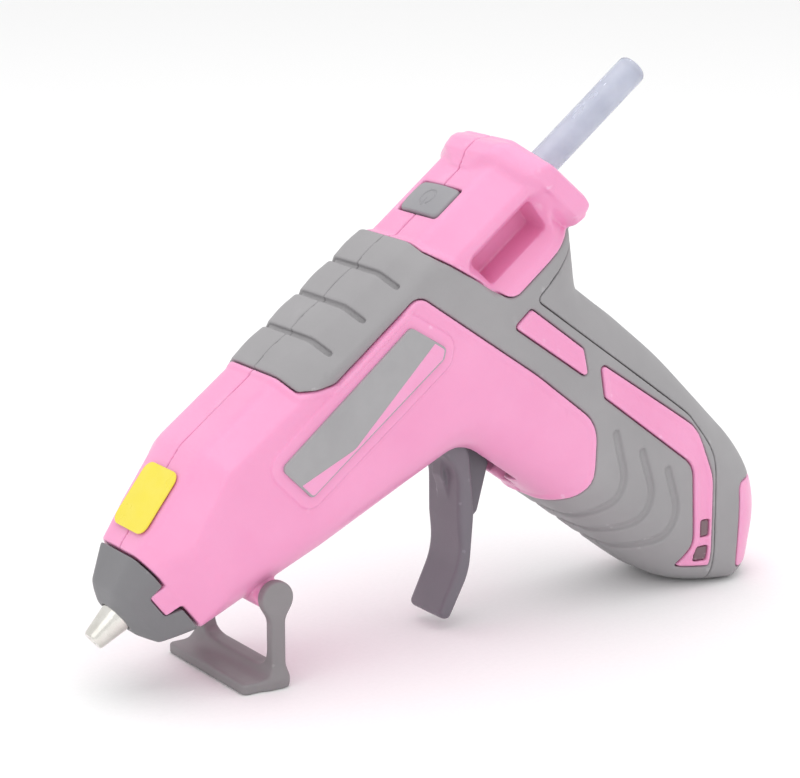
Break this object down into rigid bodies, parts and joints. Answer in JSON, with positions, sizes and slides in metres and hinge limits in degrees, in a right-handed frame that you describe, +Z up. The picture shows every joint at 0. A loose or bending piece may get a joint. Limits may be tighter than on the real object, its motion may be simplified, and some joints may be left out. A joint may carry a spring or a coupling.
{
  "type": "glue gun",
  "caption": "Cordless mini glue gun standing nose-down on a fold-out stand, with a trigger that feeds the stick, a see-through stick window, a power button and a battery grip.",
  "frame": {"origin": "on the plane that it stands on, under the centre of its bounding box", "axes": "+Z up, -X towards the nozzle, +Y to the right-hand side of somebody holding it"},
  "size_m": [0.1774, 0.0392, 0.1251],
  "materials": {
    "pink_casing": "fine satin",
    "grey_cover": "soft matt",
    "nose_plastic": "matt",
    "trigger_plastic": "satin",
    "stand_plastic": "satin",
    "button_plastic": "satin",
    "badge_plastic": "semi gloss",
    "label_film": "semi gloss",
    "turned_steel": "turned",
    "cast_zinc": "cast",
    "ceramic": "fired",
    "silicone": "matt",
    "glue": "clear, slightly milky",
    "inner_plastic": "moulded",
    "spring_steel": "drawn",
    "circuit_board": "solder mask",
    "switch_black": "moulded",
    "cell_sleeve": "shrink film",
    "nickel": "plated",
    "guide_acrylic": "smoked clear"
  },
  "bodies": {
    "housing": {"left_shell": "pink_casing", "right_shell": "pink_casing", "left_overmould": "grey_cover", "right_overmould": "grey_cover", "back_strap": "grey_cover", "heel_insert": "pink_casing", "nose_cap": "nose_plastic", "nozzle": "turned_steel", "melt_chamber": "cast_zinc", "heater_element": "ceramic", "thermal_fuse": "nickel", "inlet_sleeve": "silicone", "inlet_bushing": "inner_plastic", "return_spring": "spring_steel", "trigger_pin": "spring_steel", "switch_board": "circuit_board", "button_switch": "switch_black", "battery_cell": "cell_sleeve", "battery_tabs": "nickel", "charge_board": "circuit_board", "charge_port": "nickel", "light_guides": "guide_acrylic", "stand_pins": "spring_steel", "housing_screws": "spring_steel", "left_badge": "badge_plastic", "right_badge": "badge_plastic", "nose_label": "label_film"},
    "trigger": {"trigger": "trigger_plastic"},
    "feed_carriage": {"feed_carriage": "inner_plastic", "feed_pin": "spring_steel", "stick_gripper": "spring_steel"},
    "stick": {"glue_stick": "glue"},
    "stand": {"stand": "stand_plastic"},
    "power_button": {"power_button": "button_plastic"}
  },
  "joints": [
    {"name": "trigger_pivot", "type": "hinge", "parent": "housing", "child": "trigger", "pos_m": [-0.00458, 0, 0.04826], "axis": [0, -1, 0], "range_deg": [0, 18], "stiffness_Nm_per_rad": 0.15, "springref_deg": -20.05},
    {"name": "carriage_slide", "type": "slide", "parent": "housing", "child": "feed_carriage", "axis": [-0.7888, 0, -0.6147], "range_m": [0, 0.0046], "deforming": ["return_spring"]},
    {"name": "stick_slide", "type": "slide", "parent": "feed_carriage", "child": "stick", "axis": [0.7888, 0, 0.6147], "range_m": [0, 0.1]},
    {"name": "stand_hinge", "type": "hinge", "parent": "housing", "child": "stand", "pos_m": [-0.05192, 0, 0.01986], "axis": [0, -1, 0], "range_deg": [0, 95]},
    {"name": "button_slide", "type": "slide", "parent": "housing", "child": "power_button", "axis": [0.6147, 0, -0.7888], "range_m": [0, 0.0006], "stiffness_N_per_m": 400, "springref_m": -0.0006}
  ],
  "couplings": [
    {"joint": "carriage_slide", "follows": "trigger_pivot", "m_per_rad": 0.01428}
  ]
}
